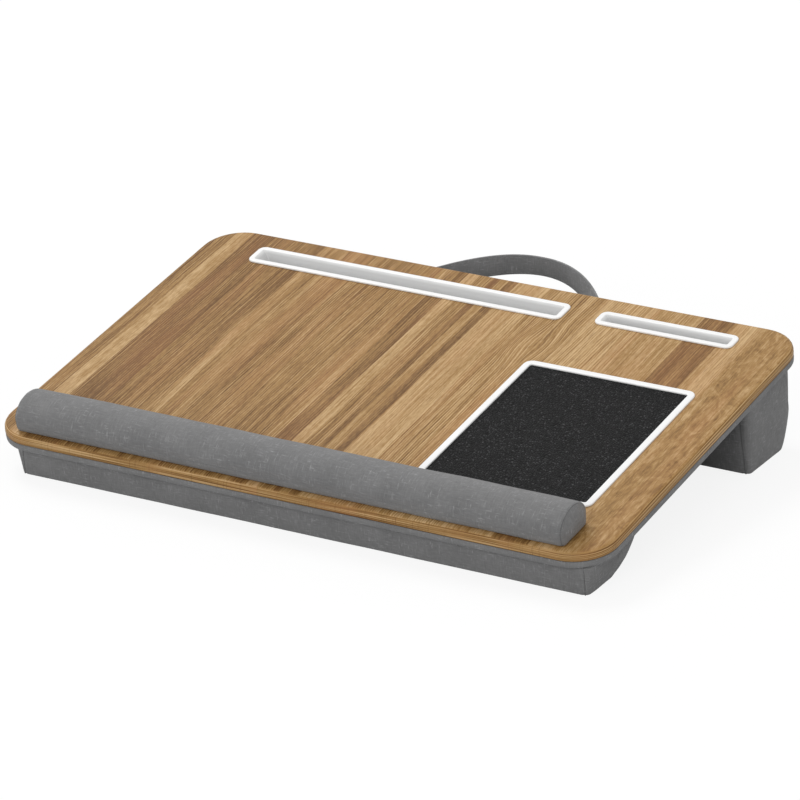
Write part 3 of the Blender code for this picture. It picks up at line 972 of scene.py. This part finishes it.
def add_cushion(name, front, length, shift, heel, fullness, leans, settings):
    """One sewn cushion: swollen cloth, held flat where it meets the base panel and the ground.

    leans is how far each end draws in on its way down, left and right.
    """
    half = length / 2
    middle = front + cushion_depth / 2
    section = cushion_section(front, heel, fullness)

    def fall_of(back, up):
        return min(max((cushion_top - up) / (cushion_top - ground_under(back)), 0), 1)

    def placed(along, back, up):
        near_end = max(0, abs(along) - half + lean_reach) / lean_reach
        lean = leans[0 if along < 0 else 1] * fall_of(back, up) ** 1.1 * min(near_end, 1) ** 2
        return board_place @ Vector((shift + along - (lean if along > 0 else -lean), back, up))

    rings = []
    for along, drawn_in, share in end_rounds(half, end_round, end_bulge):
        ring = []
        for back, up in section:
            fall = (cushion_top - up) / (cushion_top - ground_under(back))
            back = middle + (back - middle) * (1 - 2 * drawn_in / cushion_depth) * share
            fall = 0.5 + (fall - 0.5) * share
            up = cushion_top - fall * (cushion_top - ground_under(back))
            ring.append(placed(along, back, up))
        rings.append(ring)
    piece = add_piece(name, loft(rings), cloth_finish(name + "_cloth", settings, 0.94))

    def held(point):
        return 1.0 if (off_board @ point).z > cushion_top - 0.0012 or point.z < 0.0012 else 0.0

    puff_up(piece, settings.puff, held)
    round_off(piece)
    ripple(piece, 0.0004)
    for vertex in piece.data.vertices:
        place = off_board @ vertex.co
        place.z = min(place.z, cushion_top)
        vertex.co = board_place @ place
        vertex.co.z = max(vertex.co.z, 0.0001)
    seams = []
    for side in (-1, 1):
        ring = []
        for point in section:
            reach = half - seam_inset + seam_drift * fall_of(*point)
            ring.append(placed(side * reach, *point))
        seams.append(even_path(ring, 0.002, closed=True))
    add_seams(piece, name, seams, cushion_seam, settings)
    return piece


def add_seams(piece, name, paths, look, settings):
    """Draws a piece's cloth in along its left and its right seam, and lays a cord in each, darkened as
    painted shade along the seam.
    """
    depth, width, sunk, radius, shade = look
    sink_seams(piece, paths, depth, width)
    # Painted shade: the cords' cloth is darker than the piece's
    seam_shade_cloth = cloth_finish(name + "_seam_shade_cloth", settings, shade)
    for side, path in zip(("left", "right"), paths):
        seam = add_piece(name + "_seam_" + side, tube(on_surface(piece, path, -sunk), radius), seam_shade_cloth)
        box_threads(seam)
        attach(seam, "tray")


def dress_cushion(piece):
    box_threads(piece)
    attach(piece, "tray")


def ripple(piece, height):
    """Small uneven waves in stretched cloth, longer along the piece than over it."""
    mesh = piece.data
    fineness = Vector((22, 55, 55))
    moves = [vertex.normal * height * noise.noise(vertex.co * fineness) for vertex in mesh.vertices]
    for vertex, move in zip(mesh.vertices, moves):
        vertex.co += move
    mesh.update()


class TRAY_OT_cushions(bpy.types.Operator):
    """Sews the two cushions under the base panel."""

    bl_idname = "bed_tray.cushions"
    bl_label = "Cushions"

    def execute(self, context):
        settings = context.scene.bed_tray_cloth
        place = (front_cushion_front, front_cushion_length, front_cushion_shift)
        front = add_cushion("front_cushion", *place, *front_shape, settings)
        dress_cushion(front)
        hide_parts("front_cover", "front_foam")
        place = (rear_cushion_back - cushion_depth, rear_cushion_length, 0)
        rear = add_cushion("rear_cushion", *place, *rear_shape, settings)
        cut_slots(rear)
        dress_cushion(rear)
        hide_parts("rear_cover", "rear_foam", "strap_tail_left", "strap_tail_right")
        return {"FINISHED"}


# Wrist rest

# Its ends: how far they bulge, how they round off, and how much longer the cloth is than the rest
wrist_bulge = 0.0048
wrist_round = 0.0024
wrist_slack = 0.0008

# Its section: the round at its foot, how high its sides are widest, and how much wider they are there
wrist_foot = 0.0032
wrist_waist = 0.34
wrist_fullness = 0.060

# The roll round which its threads are laid: how high its middle is, and its radius
roll_height = 0.0080
roll_radius = 0.0205


def wrist_section():
    """The wrist rest's section as (back, up) points from its foot's middle: flat below, domed above."""
    half = wrist_depth / 2 - 0.0004
    top = wrist_height - 0.0008
    waist = wrist_waist * top
    points = []
    for back, up in arc((0, waist), (half, top - waist), 180, 0, 26):
        rise = (up - waist) / (top - waist)
        points.append((back * (1 + wrist_fullness * (1 - (2 * rise - 1) ** 2)), up))
    foot = (wrist_foot, waist + 0.0002)
    points += arc((half - wrist_foot, waist), foot, 0, -90, 6)[1:]
    points += arc((-half + wrist_foot, waist), foot, -90, -180, 6)[:-1]
    return filled(points, 0.0035)


def add_wrist_rest(settings):
    """The sewn wrist rest: one long cloth tube with a D-shaped panel at each end."""
    half = wrist_length / 2 - wrist_bulge + wrist_slack
    section = wrist_section()

    def placed(along, back, up):
        return board_place @ Vector((wrist_middle.x + along, wrist_middle.y + back, wrist_middle.z + up))

    rings = []
    for along, drawn_in, share in end_rounds(half, wrist_round, wrist_bulge):
        narrow = (1 - 2 * drawn_in / wrist_depth) * share
        low = (1 - drawn_in / wrist_height) * share
        lift = 0.40 * wrist_height * (1 - share)
        rings.append([placed(along, back * narrow, up * low + lift) for back, up in section])
    piece = add_piece("wrist_rest", loft(rings), cloth_finish("wrist_cloth", settings, 0.93))

    def held(point):
        return 1.0 if (off_board @ point).z < 0.0022 else 0.0

    puff_up(piece, 0.0009, held)
    round_off(piece)
    ripple(piece, 0.00035)
    for vertex in piece.data.vertices:
        place = off_board @ vertex.co
        place.z = max(place.z, 0.0003)
        vertex.co = board_place @ place
    seams = []
    for side in (-1, 1):
        ring = [placed(side * (half - 0.0012), back * 0.97, up * 0.97) for back, up in section]
        seams.append(even_path(ring, 0.0015, closed=True))
    add_seams(piece, "wrist", seams, wrist_seam, settings)

    def rolled(place):
        if abs(place.x - wrist_middle.x) > half - 0.0006:
            return place.y, place.z
        turn = atan2(place.z - roll_height, place.y - wrist_middle.y)
        return place.x, turn * roll_radius

    lay_threads(piece, rolled)
    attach(piece, "tray")
    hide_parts("wrist_cover", "wrist_foam")


def strip_finish():
    """Stiff black plastic sheet with faint drawing lines."""
    finish, place = new_finish("strip_plastic", 0.4)
    drawn = grain(place, (30, 900, 900))
    clouds = cloudy(place, 70)
    colour = steps_of(clouds, [(0.3, (0.065, 0.065, 0.066)), (0.7, (0.085, 0.085, 0.086))])
    return finish_surface(finish, colour, spread(drawn, 0.3, 0.7, 0.38, 0.52), drawn, 0.00002)


class TRAY_OT_wrist_rest(bpy.types.Operator):
    """Sews the wrist rest and finishes what holds it to the board."""

    bl_idname = "bed_tray.wrist_rest"
    bl_label = "Wrist rest"

    def execute(self, context):
        add_wrist_rest(context.scene.bed_tray_cloth)
        give_finish(strip_finish(), "wrist_strip")
        tones = ((0.46, 0.46, 0.43), (0.57, 0.57, 0.54))
        tape = foam_finish("tape", 0.2, 2600.0, *tones, (0.70, 0.85), 0.00008)
        give_finish(tape, "wrist_tape_left", "wrist_tape_right")
        return {"FINISHED"}


# Strap

# How far its upper edge leans out at its two ends, and how far apart the points of its path lie
strap_lean = radians(36)
strap_pitch = 0.004

# Its two rows of stitches: how high they lie as a share of half its width, and the thread's sizes
stitch_height = 0.78
stitch_length = 0.0028
stitch_pitch = 0.0040
stitch_radius = 0.00022
stitch_shape = ((0, 0.35), (0.12, 0.9), (0.5, 1), (0.88, 0.9), (1, 0.35))


def strap_path(count):
    """Points along the strap's middle line on the board, from its left end to its right one."""
    half = strap_span / 2
    root = rear_cushion_back - 0.002
    apex = rear_cushion_back + strap_reach - strap_thickness / 2
    reach = apex - root
    points = []
    for step in range(count + 1):
        share = 2 * step / count - 1
        eased = (abs(share) ** 0.9) * (1 if share > 0 else -1)
        back = apex - reach * abs(eased) ** strap_bend
        points.append(Vector((strap_shift + eased * half, back, strap_middle)))
    return points


def strap_frames(path):
    """Each point of the strap's middle line, with the ways that its outer face looks and its width goes.

    Towards its two ends the band leans, its upper edge outwards.
    """
    frames = []
    for index, point in enumerate(path):
        ahead = path[min(index + 1, len(path) - 1)]
        behind = path[max(index - 1, 0)]
        along = (ahead - behind).normalized()
        outward = Vector((-along.y, along.x, 0))
        lean = strap_lean * min(abs(point.x - strap_shift) / (strap_span / 2), 1) ** 1.3
        wide = Vector((0, 0, cos(lean))) + outward * sin(lean)
        frames.append((point, outward * cos(lean) - Vector((0, 0, sin(lean))), wide))
    return frames


def add_strap(settings):
    """The carrying strap, a folded and stitched band, with its two rows of stitches."""
    frames = strap_frames(even_path(strap_path(160), strap_pitch))
    tall = strap_width / 2
    thick = strap_thickness / 2
    section = []
    for step in range(28):
        angle = 2 * pi * step / 28
        side, up = cos(angle), sin(angle)
        flat = (abs(side) ** 0.45) * (1 if side > 0 else -1)
        high = (abs(up) ** 0.75) * (1 if up > 0 else -1)
        pinch = 1 - 0.25 * exp(-(((abs(high) - stitch_height) / 0.07) ** 2))
        section.append((flat, pinch, high))
    rings = []
    for point, outward, wide in frames:
        ring = []
        for flat, pinch, high in section:
            ring.append(board_place @ (point + outward * flat * thick * pinch + wide * high * tall))
        rings.append(ring)
    strap = add_piece("strap", loft(rings), cloth_finish("strap_cloth", settings, 1.0))
    lay_threads(strap, lambda place: (place.x * 1.4, place.z))
    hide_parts("carry_strap")
    rows = []
    for face in (-1, 1):
        for high in (-stitch_height, stitch_height):
            row = []
            for point, outward, wide in frames:
                row.append(board_place @ (point + outward * face * thick * 0.80 + wide * high * tall))
            rows.append(row)
    stitches = add_piece("strap_stitches", stitch_rows(rows), cloth_finish("thread", settings, 1.25))
    box_threads(stitches)
    for piece in (strap, stitches):
        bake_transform(piece)


def stitch_rows(rows):
    """Short rounded threads in a row along each path."""
    maker = bmesh.new()
    for row in rows:
        path = even_path(row, stitch_pitch)
        for near, far in zip(path[1:-2], path[2:-1]):
            along = (far - near).normalized()
            side = along.orthogonal().normalized()
            up = along.cross(side)
            rings = []
            for share, wide in stitch_shape:
                centre = near + along * stitch_length * share
                rings.append(cord_ring(centre, side, up, stitch_radius * wide, 6))
            add_skin(maker, rings)
    return maker


class TRAY_OT_strap(bpy.types.Operator):
    """Sews the carrying strap that loops out behind the rear cushion."""

    bl_idname = "bed_tray.strap"
    bl_label = "Carrying strap"

    def execute(self, context):
        add_strap(context.scene.bed_tray_cloth)
        return {"FINISHED"}


class TRAY_PT_panel(bpy.types.Panel):
    """Lists the tray's pieces in the sidebar."""

    bl_idname = "TRAY_PT_panel"
    bl_label = "Bed tray"
    bl_space_type = "VIEW_3D"
    bl_region_type = "UI"
    bl_category = "Bed tray"

    def draw(self, context):
        for step in makers:
            self.layout.operator(step.bl_idname)
        for group in groups:
            settings = getattr(context.scene, group)
            for name in settings.__annotations__:
                self.layout.prop(settings, name)


makers = (
    TRAY_OT_stage,
    TRAY_OT_board,
    TRAY_OT_base,
    TRAY_OT_slots,
    TRAY_OT_mat,
    TRAY_OT_cushions,
    TRAY_OT_wrist_rest,
    TRAY_OT_strap,
)
groups = {
    "bed_tray_board": BoardSettings,
    "bed_tray_cloth": ClothSettings,
    "bed_tray_trim": TrimSettings,
}
classes = (*groups.values(), *makers, TRAY_PT_panel)


def register():
    for item in classes:
        bpy.utils.register_class(item)
    for name, group in groups.items():
        setattr(bpy.types.Scene, name, bpy.props.PointerProperty(type=group))


def unregister():
    for name in groups:
        delattr(bpy.types.Scene, name)
    for item in reversed(classes):
        bpy.utils.unregister_class(item)


def main():
    register()
    bpy.ops.bed_tray.stage()
    bpy.ops.bed_tray.board()
    bpy.ops.bed_tray.base()
    bpy.ops.bed_tray.slots()
    bpy.ops.bed_tray.mat()
    bpy.ops.bed_tray.cushions()
    bpy.ops.bed_tray.wrist_rest()
    bpy.ops.bed_tray.strap()


if __name__ == "__main__":
    main()
